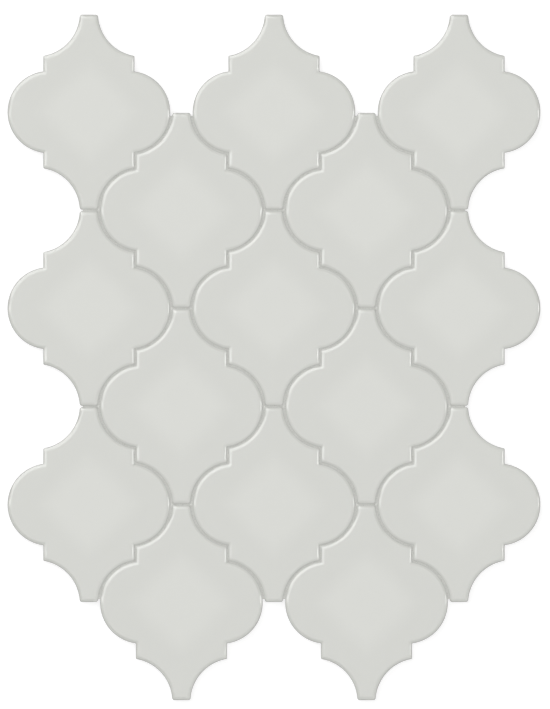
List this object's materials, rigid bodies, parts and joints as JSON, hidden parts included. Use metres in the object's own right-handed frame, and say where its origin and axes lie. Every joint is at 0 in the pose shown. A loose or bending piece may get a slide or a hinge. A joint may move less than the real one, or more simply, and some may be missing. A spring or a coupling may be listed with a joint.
{
  "type": "arabesque mosaic tile sheet",
  "caption": "Flat mosaic sheet of interlocking ogee-shaped glazed tiles in staggered columns, with filled joints and a fibre mesh bonded across the backs, for facing a wall.",
  "frame": {"origin": "below the middle of the sheet, on the underside of the backing mesh", "axes": "+X across the columns of tiles, +Y along the columns to the end where three tips stand out, +Z out of the glazed face"},
  "size_m": [0.258, 0.332, 0.007],
  "materials": {
    "tile_glaze": "gloss",
    "joint_filling": "matte",
    "mesh_yarn": "matte"
  },
  "bodies": {
    "root": {"tile_a1": "tile_glaze", "tile_a2": "tile_glaze", "tile_a3": "tile_glaze", "tile_b1": "tile_glaze", "tile_b2": "tile_glaze", "tile_b3": "tile_glaze", "tile_c1": "tile_glaze", "tile_c2": "tile_glaze", "tile_c3": "tile_glaze", "tile_d1": "tile_glaze", "tile_d2": "tile_glaze", "tile_d3": "tile_glaze", "tile_e1": "tile_glaze", "tile_e2": "tile_glaze", "tile_e3": "tile_glaze", "joint_filling": "joint_filling", "mesh_long_yarns": "mesh_yarn", "mesh_cross_yarns": "mesh_yarn"}
  },
  "joints": []
}
